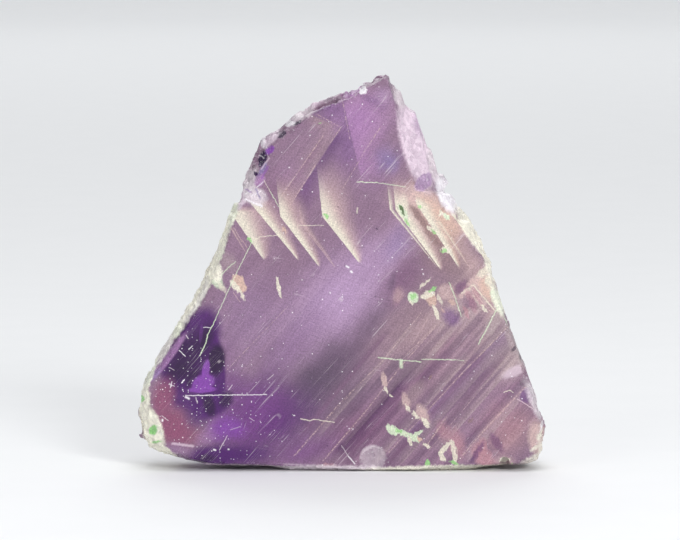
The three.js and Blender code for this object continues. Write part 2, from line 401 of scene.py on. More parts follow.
# a pale growth band: upright above its corner, then slanting down to a point, sharp on its left
def makeFlame(shape):
    tree, given, taken = newGroup("flame", "under:c point:v corner:v slope:f drop:f head:f width:f edge:c "
                                  "body:c strength:f", "over:c")
    fromCorner = vector(tree, "SUBTRACT", given["point"], given["corner"])
    sideways = vector(tree, "DOT_PRODUCT", fromCorner, (1.0, 0.0, 0.0))
    down = vector(tree, "DOT_PRODUCT", fromCorner, (0.0, 0.0, -1.0))
    below = maths(tree, "MAXIMUM", down, 0.0)
    above = maths(tree, "MINIMUM", down, 0.0)
    edgeAt = maths(tree, "MULTIPLY_ADD", below, given["slope"], times(tree, above, shape["lean"]))
    off = maths(tree, "SUBTRACT", sideways, edgeAt)
    gone = maths(tree, "DIVIDE", below, given["drop"])
    taper = maths(tree, "MAXIMUM", maths(tree, "SUBTRACT", 1.0, gone), 0.0)
    taper = maths(tree, "ADD", maths(tree, "POWER", taper, shape["taper"]), shape["closed"])
    share = maths(tree, "DIVIDE", off, times(tree, given["width"], taper))
    mask = times(tree, ramp(tree, off, 0.0, shape["crisp"]), ramp(tree, share, 1.0, shape["fullTo"]))
    lift = maths(tree, "DIVIDE", times(tree, above, -1.0), given["head"])
    mask = times(tree, mask, ramp(tree, lift, 1.0, 0.0))
    mask = times(tree, mask, ramp(tree, gone, 1.0, shape["tipFrom"]))
    mask = times(tree, mask, given["strength"])
    hue = ramp(tree, maths(tree, "MULTIPLY_ADD", lift, shape["liftHue"], share), *shape["hue"])
    feed(tree, taken["over"], mix(tree, mask, given["under"], mix(tree, hue, given["edge"], given["body"])))
    return tree


noiseField = makeNoiseField()
push, cells, flecks = makePush(), makeCells(), makeFlecks()
softBlob, hairline, zoneEdge, flame = makeSoftBlob(), makeHairline(), makeZoneEdge(), makeFlame(flameShape)

stoneColours = {
    "mauve": paint(144, 115, 138), "lilac": paint(180, 150, 186), "heather": paint(153, 123, 156),
    "dove": paint(164, 140, 145), "smoke": paint(176, 158, 160), "plum": paint(124, 84, 118),
    "dusk": paint(100, 81, 104), "aubergine": paint(78, 24, 104), "ink": paint(40, 12, 56),
    "night": paint(50, 20, 70), "violet": paint(138, 72, 172), "bluebell": paint(136, 120, 168),
    "orchid": paint(176, 131, 181), "amethyst": paint(124, 88, 136), "rust": paint(144, 80, 112),
    "rose": paint(190, 142, 152), "shell": paint(214, 186, 180), "salmon": paint(220, 188, 170),
    "umber": paint(142, 114, 112), "cream": paint(234, 228, 208), "mint": paint(218, 234, 202),
    "leaf": paint(158, 216, 138), "moss": paint(62, 98, 38), "chalk": paint(242, 238, 242),
    "haze": paint(228, 208, 222), "bone": paint(248, 245, 226), "granite": paint(240, 236, 228),
    "verdigris": paint(238, 242, 220), "grass": paint(138, 208, 120), "frost": paint(222, 210, 216),
    "grape": paint(116, 62, 132), "mulberry": paint(88, 48, 94),
}

# places are (x, z) in mm, as seen on the polished face; turns are in degrees
growthLook = {
    "shear": (0.148, 0.547),  # how far the growth zones run sideways and up for each mm of depth
    "pushes": {  # how a point is pushed about before it is coloured: scale, mm, detail, squash
        "wavy": (0.22, 1.3),
        "rough": (0.9, 0.08, 2.0, (1.1, 0.5, 1.0)),
        "torn": (1.1, 0.7, 5.0, (1.6, 1.0, 0.8)),
        "jagged": (1.1, 0.22, 3.0, (1.2, 0.5, 1.0)),
        "crustAndPaintedLight": (1.3, 0.5, 3.0),
    },
    # stripes along the zones: the noise is scale, detail, roughness, turn, along; the strength is more, least
    "stripes": [
        {"noise": (0.42, 2.0, 0.5, 48, 0.03), "edges": (0.42, 0.58), "strength": (0.6, 0.2),
         "tones": ((0.74, 0.67, 0.76, 1), (1.22, 1.22, 1.16, 1))},
        {"noise": (2.2, 3.0, 0.5, 48, 0.05), "edges": (0.3, 0.7), "strength": (0.3, 0.1),
         "tones": ((0.80, 0.76, 0.81, 1), (1.17, 1.17, 1.15, 1))},
    ],
    "stripedMost": ((22, 18), (42, 24), 48, 1.0, 0.7),  # middle, reach, turn, strength, softness
    "edgeEnds": 3.0,  # mm over which a zone edge fades out at its two ends
    # soft areas of colour: colour, middle, reach along and across, turn, strength
    "areas": [
        ("dove", (17.5, 29.6), (22, 17), 48, 0.8), ("heather", (-18.5, 30.2), (16, 12), 55, 0.8),
        ("mauve", (-8.5, 60.7), (16, 13), 60, 0.8), ("lilac", (-0.5, 35.2), (22, 12), 46, 1),
        ("lilac", (9.9, 45.5), (13, 6), 48, 0.5), ("bluebell", (11.1, 45.9), (7, 4), 48, 0.35),
        ("plum", (12.1, 38.4), (9, 5), 55, 0.7), ("dusk", (5.9, 30), (9, 3.5), 52, 0.5),
        ("dusk", (10.1, 38.4), (3.4, 1.2), 66, 0.55), ("rose", (10.9, 35.4), (2.6, 1.6), 80, 0.35),
        ("dusk", (-4.9, 18.6), (17, 10), 38, 1), ("dusk", (0.5, 23.4), (8, 4), 30, 0.3),
        ("aubergine", (-14.5, 9.7), (16, 9), 22, 0.9), ("aubergine", (-16.1, 16.6), (9, 5), 48, 0.5),
        ("mauve", (8.5, 6.9), (18, 8), 44, 0.6), ("mauve", (27.9, 17.6), (14, 12), 48, 0.8),
        ("dove", (33.5, 8.1), (9, 8), 30, 0.8), ("smoke", (32.1, 24.2), (9, 7), 110, 0.9),
        ("mauve", (4.5, 53.1), (10, 7), 0, 0.8), ("salmon", (17.5, 51.9), (13, 7), -52, 0.75),
        ("salmon", (21.3, 49.5), (7, 4), -52, 0.9), ("shell", (15.5, 56.1), (5, 3), 0, 0.6),
        ("dove", (25.1, 41.1), (10, 7), -52, 0.9), ("orchid", (3.9, 71.2), (8, 9), 100, 0.8),
        ("orchid", (5.9, 62.7), (9, 8), 100, 0.35), ("lilac", (8.1, 75.4), (3.5, 3), 0, 0.5),
        ("amethyst", (5.9, 74.2), (4.5, 1.3), -25, 0.5), ("bluebell", (9.1, 62.7), (4.5, 4), 60, 0.7),
        ("mauve", (10.7, 66.8), (5, 2.5), 100, 0.6), ("mauve", (12.3, 60.3), (4, 2), 100, 0.6),
        ("amethyst", (-2.5, 73.2), (6, 3.5), -25, 0.8), ("amethyst", (0.3, 64.7), (4, 8), 10, 0.7),
        ("plum", (-11.5, 55.7), (6, 9), 55, 0.55), ("orchid", (-8.5, 58.7), (5, 8), 55, 0.2),
        ("umber", (18.7, 45.5), (10, 6), -52, 0.6), ("shell", (14.5, 55.1), (8, 4), 0, 0.5),
        ("shell", (29.1, 34.6), (7, 4), -62, 0.9), ("smoke", (31.5, 27.6), (8, 5), 60, 0.9),
        ("smoke", (33.1, 24.2), (6, 5), 60, 0.7), ("shell", (25.5, 42.3), (8, 3), -52, 0.5),
        ("dusk", (14.5, 9.5), (4, 3), 48, 0.3), ("dusk", (12.5, 19.6), (10, 6), 48, 0.6),
        ("plum", (1.5, 9.5), (11, 6), 40, 0.6), ("grape", (-18.1, 10.9), (15, 10), 30, 0.95),
        ("grape", (-30.5, 24.6), (9, 12), 60, 0.8), ("grape", (-22.1, 16.2), (7, 8), 50, 0.7),
        ("grape", (-8.1, 4.1), (13, 5), 20, 0.6), ("aubergine", (-20.9, 3.5), (11, 4), 0, 0.7),
        ("heather", (-8.5, 25.6), (13, 6), 48, 0.6), ("amethyst", (-11.5, 24.6), (16, 4), 48, 0.35),
        ("plum", (7.1, 8.9), (13, 5), 48, 0.5), ("plum", (12.3, 15.6), (9, 4), 48, 0.4),
        ("rose", (33.1, 8.9), (8, 7), 60, 0.6), ("smoke", (21.9, 31.6), (8, 5), 48, 0.5),
        ("smoke", (27.1, 33.6), (9, 5), 60, 0.6), ("dusk", (-0.1, 12.9), (11, 3), 46, 0.6),
        ("dusk", (3.7, 17), (6, 2.4), 46, 0.4), ("plum", (3.1, 6.5), (6, 4), 46, 0.5),
        ("dusk", (15.5, 20.6), (5, 2.4), 48, 0.6), ("mauve", (21.9, 28.6), (6, 2.4), 48, 0.5),
    ],
    # zones with one sharp edge that fade to its left: colour, start, end, width at each, crispness, strength
    "edges": [
        ("orchid", (-0.1, 75), (3.9, 57.9), 5, 5, 0.25, 0.55),
        ("amethyst", (3.1, 61.5), (0.1, 75), 3.5, 2.5, 0.15, 0.5),
        ("dove", (-11.9, 51.7), (-0.3, 69.2), 6, 4, 0.15, 0.4),
        ("aubergine", (-0.3, 69.2), (-10.9, 53.1), 2, 6, 0.2, 0.5),
        ("dove", (-0.3, 69.2), (-7.7, 72.4), 3.5, 3, 0.2, 0.5),
        ("amethyst", (-7.7, 72.4), (-0.3, 69.2), 3, 3, 0.2, 0.45),
        ("plum", (-3.9, 67.8), (-12.3, 55.3), 1.6, 2.4, 0.2, 0.35),
        ("dusk", (11.5, 24.2), (-0.5, 10.5), 4.5, 3, 0.3, 0.4),
        ("mulberry", (12.3, 19.6), (-2.5, 3.5), 4, 5, 0.3, 0.75),
        ("mauve", (19.5, 30.2), (5.1, 15), 3, 3, 0.3, 0.5),
        ("plum", (21.9, 26.2), (13.9, 17.6), 3, 5, 0.3, 0.45),
        ("dove", (13.9, 17.6), (25.5, 30.2), 3.5, 3.5, 0.3, 0.3),
        ("dove", (17.5, 14.6), (32.5, 29.6), 3, 3.5, 0.3, 0.4),
        ("heather", (33.5, 29.8), (11.5, 6.5), 4, 4, 0.3, 0.6),
        ("smoke", (15.5, 3.5), (36.5, 25.6), 2, 3, 0.4, 0.4),
        ("mauve", (38.7, 19.6), (23.9, 2.9), 4, 3, 0.3, 0.6),
        ("plum", (-8.5, 6.5), (9.9, 28.6), 1.4, 1.8, 0.2, 0.4),
        ("smoke", (-4.9, 6.5), (15.5, 30.2), 1.8, 2.4, 0.2, 0.35),
        ("plum", (1.9, 3.3), (23.9, 28.2), 1.4, 1.8, 0.2, 0.5),
        ("smoke", (-0.5, 4.1), (21.1, 28.6), 2, 2.6, 0.2, 0.25),
        ("smoke", (5.9, 0.5), (26.7, 24.2), 2.2, 2.6, 0.2, 0.5),
        ("plum", (8.7, 0.5), (29.9, 24.6), 1.6, 2, 0.2, 0.5),
        ("smoke", (11.1, 0.5), (32.5, 25), 2.4, 3, 0.2, 0.55),
        ("plum", (16.3, 4.1), (33.9, 24.2), 1.6, 2, 0.2, 0.45),
        ("smoke", (18.7, 3.3), (35.5, 22.6), 2.6, 3.2, 0.2, 0.5),
        ("plum", (22.3, 2.9), (36.7, 19.4), 1.6, 2, 0.2, 0.4),
        ("smoke", (24.7, 1.3), (38.5, 17.4), 3, 3.4, 0.25, 0.4),
        ("smoke", (17.5, 22.6), (27.1, 33.8), 2.4, 2.4, 0.2, 0.5),
        ("heather", (-22.1, 18.2), (-8.5, 33.8), 3, 3, 0.2, 0.35),
        ("heather", (-16.1, 18.2), (-4.1, 32.6), 2.4, 2.4, 0.2, 0.3),
    ],
    # pale bands: corner, tip, height of the upright part, width, colours of edge and body, strength
    "flames": [
        ((-23.3, 50.3), (-18.9, 43.3), 1, 1.2, "shell", "dove", 0.7),
        ((-22.5, 52.3), (-15.7, 42.5), 1.5, 9.5, "cream", "shell", 0.9),
        ((-18.5, 54.1), (-8.7, 42.3), 1, 6, "cream", "shell", 0.95),
        ((-12.5, 51.4), (-4.6, 41.1), 9, 6, "cream", "shell", 0.95),
        ((-8.5, 50.3), (-1.9, 41.9), 6, 2.4, "shell", "dove", 0.5),
        ((-4.1, 51.4), (3.5, 41.8), 12, 7.5, "cream", "shell", 0.95),
        ((9.4, 52.8), (19.5, 40.5), 6, 1, "cream", "cream", 0.9),
        ((10.6, 52.6), (19.8, 40.4), 7, 7, "cream", "shell", 1),
        ((14.7, 53.9), (23.4, 40.8), 2.5, 6.4, "cream", "salmon", 1),
        ((19.1, 50.3), (25.1, 41.5), 1, 1.6, "cream", "salmon", 0.6),
        ((21.9, 51.7), (29.5, 41.7), 1.5, 6, "cream", "salmon", 1),
        ((22.7, 51.9), (30.3, 41.9), 1, 2.6, "cream", "bone", 0.9),
    ],
    # the dark corner at the lower left, laid over the rest: as areas, with a softness at the end. Its violet
    # rows are painted light: clear crystal lit through from behind
    "corner": [
        ("aubergine", (-28.9, 26.6), (8.5, 5), 70, 0.95, 0.4),
        ("aubergine", (-32.1, 21.4), (6.5, 5.5), 60, 0.95, 0.4),
        ("aubergine", (-31.3, 16.2), (5.5, 6), 70, 0.9, 0.5),
        ("aubergine", (-26.3, 20.6), (3.2, 9.5), 5, 0.95, 0.25),
        ("aubergine", (-26.1, 13.8), (5.2, 3.6), 20, 0.95, 0.5),
        ("ink", (-30.9, 23.6), (8, 5.5), 65, 0.7, 0.8), ("ink", (-33.1, 20.2), (3.5, 3), 40, 0.6, 0.7),
        ("violet", (-28.3, 27.8), (2.4, 0.5), 84, 0.5, 0.6),
        ("ink", (-25.2, 22.6), (4, 2.2), 84, 0.9, 0.45), ("ink", (-27.3, 27.2), (4.4, 2.4), 75, 0.7, 0.8),
        ("ink", (-30.1, 19), (3, 1.4), 60, 0.6, 0.6), ("rust", (-35.9, 15), (5.5, 3.2), 75, 0.9, 0.7),
        ("rust", (-34.3, 9.3), (5.5, 5.6), 60, 0.95, 0.7), ("rust", (-31.3, 7.1), (5, 3.5), 20, 0.7, 0.9),
        ("aubergine", (-28.5, 12.1), (5, 4), 40, 0.8, 0.8),
        ("ink", (-26.7, 13.4), (3.2, 1.6), 105, 0.8, 0.6), ("ink", (-23.3, 14.6), (2.6, 1.8), 60, 0.7, 0.7),
        ("violet", (-24.1, 8.9), (4.6, 3.4), 35, 0.75, 0.9),
        ("violet", (-21.3, 8.5), (3, 2.8), 0, 0.6, 0.9), ("orchid", (-27.3, 6.9), (3.4, 2.2), 30, 0.4, 0.9),
        ("aubergine", (-25.9, 3.1), (7.5, 2.8), 0, 0.95, 0.6),
        ("aubergine", (-20.5, 3.5), (9, 2.6), 0, 0.7, 0.9), ("ink", (-27.3, 2.7), (3, 1.4), 0, 0.7, 0.8),
        ("heather", (-33.1, 4.5), (4.4, 2), -10, 0.7, 0.8),
        # violet: painted light, clear crystal lit through from behind
        ("violet", (-27.4, 20.4), (2.6, 0.85), 80, 0.9, 0.3),
        ("violet", (-27.9, 18), (2.8, 1.9), 20, 0.9, 0.35),
        ("violet", (-28.1, 16.6), (3.4, 0.8), 2, 0.9, 0.4),
        ("orchid", (-35.1, 23), (7.6, 1.1), 53, 0.65, 0.4),
        ("bluebell", (-37.5, 19.8), (2.4, 1), 53, 0.5, 0.6),
    ],
    # small patches with ragged edges: as the corner
    "patches": [
        ("salmon", (-20.7, 38), (2.4, 1.4), -60, 0.9, 0.3),
        ("cream", (-21.5, 37.4), (1.9, 0.8), -52, 0.9, 0.4),
        ("cream", (-20.1, 35.6), (1.4, 0.45), -70, 0.8, 0.4),
        ("mint", (-25.1, 38.4), (2.2, 1.3), -50, 0.8, 0.5),
        ("cream", (-24.1, 37.2), (1.6, 0.7), -50, 0.6, 0.5),
        ("salmon", (-25.9, 40.1), (1.5, 1), -50, 0.5, 0.6),
        ("cream", (-12.9, 37.8), (2, 0.5), -80, 0.9, 0.3),
        ("cream", (-12.5, 35.8), (1, 0.35), -70, 0.8, 0.4),
        ("smoke", (-22.9, 42.3), (3.6, 2.4), -52, 0.5, 0.8),
        ("salmon", (-11.7, 48.9), (1.3, 0.6), -50, 0.8, 0.8),
        ("leaf", (-3.3, 51.4), (0.9, 0.42), -55, 0.9, 0.5),
        ("leaf", (-18.5, 46.7), (0.9, 0.35), -50, 0.8, 0.5),
        ("cream", (12.3, 54.1), (2.4, 1.3), 100, 0.6, 0.8),
        ("mint", (12.1, 52.3), (2.2, 0.9), -62, 0.8, 0.4), ("moss", (11.8, 53), (1, 0.45), -60, 0.9, 0.4),
        ("moss", (12.1, 52.1), (0.6, 0.35), -60, 0.8, 0.4),
        ("leaf", (13, 50.1), (1.3, 0.35), -62, 0.8, 0.4), ("umber", (15.3, 51.3), (4.6, 1), -52, 0.85, 0.6),
        ("umber", (17.7, 47.5), (4, 0.9), -52, 0.7, 0.7), ("cream", (17.7, 48.9), (1, 0.6), -10, 0.9, 0.3),
        ("cream", (20.7, 44.7), (1.3, 0.7), -20, 0.95, 0.3),
        ("leaf", (20.3, 44.5), (0.8, 0.5), 30, 0.8, 0.4), ("leaf", (18.2, 48.3), (1, 0.3), -55, 0.7, 0.5),
        ("leaf", (15.5, 53.4), (0.7, 0.35), -50, 0.7, 0.5),
        ("cream", (20.3, 51.7), (1.5, 0.45), -45, 0.9, 0.3),
        ("mint", (20.9, 51.3), (1.1, 0.5), -60, 0.9, 0.3),
        ("cream", (19.8, 51.8), (0.8, 0.25), 15, 0.8, 0.3),
        ("mint", (14.1, 35.2), (1.3, 1.3), 0, 0.9, 0.35), ("leaf", (14.2, 35.4), (0.8, 0.7), 40, 0.8, 0.4),
        ("cream", (13.8, 34), (0.8, 0.4), -50, 0.9, 0.3), ("cream", (16.5, 38), (2, 0.32), 42, 0.75, 0.4),
        ("salmon", (17.8, 34.8), (1.9, 1.3), -60, 0.8, 0.5),
        ("cream", (17, 35.7), (1.7, 0.85), 20, 0.9, 0.3), ("leaf", (18, 36.7), (1.1, 0.42), 35, 0.85, 0.4),
        ("cream", (18.7, 32.2), (1.9, 0.5), -68, 0.9, 0.3),
        ("shell", (20.9, 36.2), (2.5, 2.1), -10, 0.6, 0.5),
        ("salmon", (21.9, 34.2), (1, 0.6), -30, 0.6, 0.5),
        ("salmon", (20.2, 32.4), (0.8, 0.42), -40, 0.9, 0.4),
        ("amethyst", (21.7, 31.2), (3, 2.2), -40, 0.75, 0.7),
        ("plum", (23.7, 37.2), (2.6, 1.5), 35, 0.7, 0.6), ("shell", (24.7, 36.2), (2.3, 0.5), 38, 0.7, 0.4),
        ("shell", (28.7, 38.8), (4.2, 2.2), 42, 0.9, 0.5),
        ("salmon", (29.5, 37), (3.4, 2.6), -60, 0.8, 0.5),
        ("cream", (28.3, 40.3), (2.6, 0.9), 40, 0.8, 0.5),
        ("cream", (30.1, 38), (3.2, 1.8), -62, 0.85, 0.6), ("bone", (30.9, 36.2), (3, 1), -62, 0.8, 0.5),
        ("shell", (26.3, 38.4), (2.2, 1), 38, 0.7, 0.6), ("cream", (25.1, 36.8), (2, 0.4), 38, 0.7, 0.5),
        ("cream", (26.7, 34.6), (1.6, 0.35), -62, 0.7, 0.5),
        ("cream", (19.5, 34.6), (1.6, 0.4), -64, 0.7, 0.5),
        ("shell", (11.1, 35.6), (2.4, 1.6), 60, 0.35, 0.8),
        ("chalk", (-19.3, 56.7), (2.6, 1.2), -30, 0.8, 0.6),
        ("chalk", (-17.3, 54.9), (1.8, 0.8), -20, 0.8, 0.6),
        ("bluebell", (-18.5, 56.1), (1.6, 0.6), 20, 0.7, 0.6),
        ("cream", (31.1, 34.6), (2.6, 1.3), -60, 0.8, 0.5), ("rose", (25.7, 34.6), (3.6, 1), -66, 0.6, 0.6),
        ("rose", (26.9, 35.4), (3, 0.9), -66, 0.6, 0.6), ("cream", (29.1, 38.4), (1.2, 0.6), -70, 0.8, 0.5),
        ("mint", (30.4, 35.8), (1.3, 0.9), -60, 0.9, 0.5), ("plum", (25.5, 34), (2.6, 1.6), -30, 0.5, 0.7),
        ("rose", (24.8, 32.2), (1.8, 0.55), -68, 0.7, 0.4),
        ("cream", (28.2, 33), (1.2, 0.4), -55, 0.9, 0.3), ("smoke", (30.1, 30), (3.4, 1.5), -118, 0.8, 0.4),
        ("mint", (33, 30.7), (0.8, 0.5), -60, 0.9, 0.5), ("shell", (8.3, 18.6), (1.9, 0.75), -82, 0.8, 0.5),
        ("cream", (8.7, 16.6), (0.9, 0.4), -62, 0.9, 0.4),
        ("cream", (9.8, 15.3), (0.6, 0.3), -50, 0.9, 0.3), ("dove", (14.1, 15.6), (5, 2.2), 50, 0.6, 0.7),
        ("shell", (12.7, 14.2), (2.6, 1), -75, 0.65, 0.6),
        ("shell", (16.1, 11.7), (3, 1.5), -60, 0.75, 0.6),
        ("cream", (13.1, 12.9), (1.1, 0.4), -60, 0.9, 0.4),
        ("cream", (14.6, 11.5), (1.2, 0.5), -55, 0.9, 0.4),
        ("cream", (16.7, 9.9), (1.5, 0.65), -55, 0.95, 0.4),
        ("mint", (9.9, 8.5), (1.7, 0.9), -40, 0.95, 0.25), ("mint", (11.3, 8.1), (2, 0.6), -20, 0.95, 0.25),
        ("leaf", (11.3, 8.2), (0.9, 0.4), -20, 0.9, 0.4),
        ("mint", (13.7, 7.1), (2.2, 0.75), -25, 0.95, 0.25),
        ("mint", (14.9, 7.7), (1.7, 0.4), 25, 0.9, 0.25),
        ("cream", (13.6, 6.1), (1.3, 0.45), -70, 0.9, 0.3),
        ("salmon", (15.4, 6.6), (0.7, 0.35), -30, 0.9, 0.4),
        ("cream", (16.9, 5.3), (1, 0.42), -35, 0.9, 0.3), ("rose", (20.3, 8.1), (3.4, 2), -68, 0.6, 0.9),
        ("rose", (22.9, 5.7), (4.6, 2.4), -78, 0.75, 0.8), ("cream", (20.7, 4.9), (2, 0.6), 48, 0.9, 0.3),
        ("cream", (19.9, 3.1), (1.3, 0.6), -60, 0.9, 0.3),
        ("cream", (22.5, 3.5), (2.4, 0.7), -82, 0.85, 0.4), ("cream", (21.9, 5.9), (1, 0.5), -50, 0.8, 0.3),
        ("leaf", (22.5, 1.8), (1.3, 0.5), -20, 0.9, 0.4), ("leaf", (17, 1.5), (1.2, 0.5), 80, 0.9, 0.4),
        ("rose", (28.3, 2.9), (4.4, 2.4), -50, 0.9, 0.6), ("rose", (27.9, 4.9), (2.6, 1.3), -100, 0.8, 0.5),
        ("plum", (30.9, 5.9), (3.4, 1.2), -58, 0.8, 0.6),
        ("aubergine", (27.1, 4.1), (3.4, 0.8), 60, 0.6, 0.6),
        ("amethyst", (37.1, 15.6), (2.4, 1.6), 40, 0.85, 0.4),
        ("leaf", (34.5, 1.4), (2.2, 0.35), 0, 0.8, 0.5), ("rose", (-3.1, 1.1), (3, 0.8), 0, 0.7, 0.7),
        ("umber", (25.7, 10.3), (1.1, 0.5), 50, 0.6, 0.7), ("umber", (17.6, 19), (0.8, 0.35), 70, 0.8, 0.6),
    ],
    # what lies on the broken rim and close to it, with painted light on the clear panel at the upper right
    # and in the dent at the right end of the foot: as the corner
    "crustAndPaintedLight": [
        # the rows on these three lines paint the clear panel at the upper right pale: painted light, the
        # bright backdrop seen through it, over its lilac tint
        ("haze", (14.7, 65.5), (11, 3.4), 106, 1, 0.35), ("lilac", (15.5, 69.6), (3.5, 2), 106, 0.5, 0.8),
        ("lilac", (16.3, 58.1), (2.6, 1.7), 40, 0.9, 0.3), ("frost", (18.7, 60.7), (5.5, 1.5), 106, 1, 0.4),
        ("frost", (11.5, 75.2), (3, 1.6), 110, 0.9, 0.5), ("chalk", (21.1, 55.5), (4.6, 2.4), 115, 1, 0.4),
        ("bone", (26.5, 47.9), (7.5, 2), 125, 0.95, 0.4),
        ("bone", (30.7, 40.1), (5.5, 1.7), 117, 0.95, 0.4),
        ("verdigris", (31.3, 34), (4, 1.4), 113, 0.9, 0.5),
        ("smoke", (34.3, 25.6), (7, 1.4), 113, 0.7, 0.6), ("ink", (34.3, 24.8), (0.9, 0.5), 60, 0.7, 0.5),
        ("ink", (35.9, 23), (0.5, 0.9), 20, 0.7, 0.5), ("frost", (38.5, 14.2), (6, 1.4), 112, 0.8, 0.6),
        ("shell", (39.3, 6.5), (2.6, 5), 10, 0.8, 0.5), ("bone", (40.1, 4.5), (1.2, 3), 10, 0.7, 0.8),
        ("bone", (39.7, 7.3), (1.5, 0.8), 60, 0.8, 0.6), ("bone", (38.5, 4.7), (1.4, 0.6), 30, 0.7, 0.6),
        ("chalk", (40.1, 9.1), (0.6, 1.2), -20, 0.8, 0.6), ("bone", (38.7, 2.5), (4, 1.2), 20, 0.7, 0.6),
        ("frost", (-19.1, 57.5), (5, 2), 64, 0.9, 0.5), ("haze", (-20.9, 54.3), (3, 1.6), 55, 0.9, 0.5),
        ("verdigris", (-23.3, 50.3), (5.5, 1.8), 63, 1, 0.4),
        ("bone", (-24.3, 47.5), (4, 1.4), 66, 0.9, 0.4), ("verdigris", (-26.3, 43.1), (6, 2.2), 63, 1, 0.3),
        ("bone", (-25.3, 40.3), (2.6, 1.6), 100, 0.9, 0.4), ("bone", (-27.9, 37.8), (4, 1.7), 60, 1, 0.4),
        ("granite", (-29.7, 34.6), (5.5, 1.8), 58, 1, 0.35),
        ("granite", (-32.3, 30.2), (4.5, 1.4), 56, 0.9, 0.5),
        ("verdigris", (-33.7, 27.8), (3, 1.2), 50, 1, 0.5),
        ("granite", (-36.3, 23.6), (6, 1), 56, 0.9, 0.5),
        ("verdigris", (-38.9, 19), (4.5, 1), 70, 0.9, 0.5), ("bone", (-39.9, 14.2), (4, 1.6), 85, 1, 0.4),
        ("bone", (-38.3, 8.5), (6, 2.6), 108, 1, 0.3), ("bone", (-36.5, 4.1), (4.5, 1.6), 150, 1, 0.4),
        ("grass", (-40.4, 14.4), (1, 0.7), 60, 0.9, 0.4), ("grass", (-38, 8.3), (1.5, 1), 60, 0.95, 0.4),
        ("grass", (-37.3, 5.9), (1.3, 0.35), 10, 0.8, 0.5),
        ("night", (-15.9, 62.9), (1.9, 0.8), 68, 1, 0.25),
        ("night", (-17.3, 59.8), (0.6, 0.55), 30, 1, 0.3), ("ink", (-12.3, 67.7), (1.3, 0.6), 25, 0.9, 0.3),
        ("ink", (-8.9, 70.1), (1, 0.35), 35, 0.9, 0.3), ("violet", (-14.5, 64.7), (1.4, 0.8), 40, 0.9, 0.4),
        ("bluebell", (-16, 60.7), (2.2, 0.6), 60, 0.8, 0.5),
        ("orchid", (-16.5, 58.7), (1.8, 1.2), 60, 0.7, 0.5),
        ("frost", (-17.5, 55.5), (3.2, 2.3), -20, 0.9, 0.5),
        ("chalk", (-15.8, 65.7), (0.9, 1.1), 20, 0.8, 0.5),
        ("chalk", (-10.6, 69.8), (1.6, 0.7), 15, 0.9, 0.5),
        ("frost", (-7.5, 72.2), (4.2, 1.4), 30, 0.9, 0.6), ("haze", (-4.1, 74), (5, 1), 28, 0.8, 0.6),
        ("haze", (-14.1, 66.8), (3.4, 0.9), 45, 0.8, 0.6), ("frost", (0.5, 76.4), (4, 0.8), 28, 0.7, 0.6),
        ("bone", (-25.9, 42.3), (8, 1.2), 63, 0.9, 0.5), ("bone", (-30.5, 33.6), (7, 1.2), 58, 0.8, 0.6),
        ("ink", (-2.5, 74.6), (2.4, 0.3), 28, 0.4, 0.4), ("orchid", (1.9, 76.2), (3, 1), 28, 0.7, 0.6),
        ("chalk", (4.1, 76.5), (1, 0.8), 30, 1, 0.35), ("frost", (6.1, 2.8), (2.9, 2.9), 0, 0.45, 0.25),
        # shell and bone over the small dent at the right end of the foot: painted light that lifts the shade
        # in the dent
        ("shell", (32.5, 2.1), (3, 1.6), 0, 0.6, 0.9), ("bone", (32.5, 2.2), (1.2, 0.9), 0, 1, 0.4),
        ("frost", (-2.5, 0.4), (16, 1.2), 0, 0.9, 0.5), ("bone", (19.5, 0.5), (20, 1.1), 1, 0.9, 0.5),
        ("frost", (-16.1, 0.5), (12, 1), -2, 0.8, 0.5), ("haze", (-26.5, 0.9), (9, 0.9), -4, 0.7, 0.6),
    ],
    # cracks along the cleavage: colour, start, end, width, strength
    "cracks": [
        ("mint", (2.9, 58.3), (6.9, 58.2), 0.16, 0.9), ("mint", (6.9, 58.2), (12.6, 57.3), 0.14, 0.8),
        ("shell", (12.6, 57.3), (17.9, 56.6), 0.12, 0.6), ("mint", (-28.6, 23.4), (-27.4, 25.9), 0.17, 1),
        ("mint", (-27.4, 25.9), (-27, 27.6), 0.17, 1), ("mint", (-27, 27.6), (-25.5, 30.6), 0.16, 1),
        ("mint", (-25.5, 30.6), (-22.3, 37.8), 0.14, 0.9),
        ("mint", (-22.3, 37.8), (-19.9, 42.7), 0.13, 0.85),
        ("mint", (-19.9, 42.7), (-18, 46.5), 0.13, 0.85),
        ("chalk", (-27.8, 29.1), (-26.4, 29.1), 0.14, 0.8),
        ("mint", (-24.3, 39.5), (-22.7, 41.3), 0.16, 0.8),
        ("mint", (-22.7, 41.3), (-21.4, 42.3), 0.14, 0.8),
        ("cream", (-17.8, 46.5), (-16.4, 47.4), 0.14, 0.85),
        ("cream", (-16.4, 47.4), (-12.7, 47.6), 0.14, 0.85),
        ("cream", (-8.8, 49.6), (-3.8, 49.6), 0.14, 0.7),
        ("cream", (-15.7, 58.7), (-14.5, 56.5), 0.13, 0.7),
        ("mint", (-14.5, 56.5), (-12.7, 53.4), 0.14, 0.8),
        ("chalk", (-31.5, 15.4), (-15.2, 15.6), 0.17, 0.9),
        ("cream", (-8.4, 10.7), (-6.5, 10.3), 0.16, 0.9), ("cream", (-6.5, 10.3), (-5.7, 10.6), 0.16, 0.9),
        ("cream", (-5.7, 10.6), (-1.6, 10), 0.14, 0.9), ("mint", (7.2, 23.1), (12, 22.5), 0.19, 0.9),
        ("mint", (12, 22.5), (15.7, 22.2), 0.19, 0.9), ("mint", (15.9, 22.7), (22.6, 22.6), 0.16, 0.9),
        ("mint", (22.6, 22.6), (24.3, 22.4), 0.13, 0.7), ("mint", (11.7, 22.4), (11.8, 21.2), 0.6, 0.9),
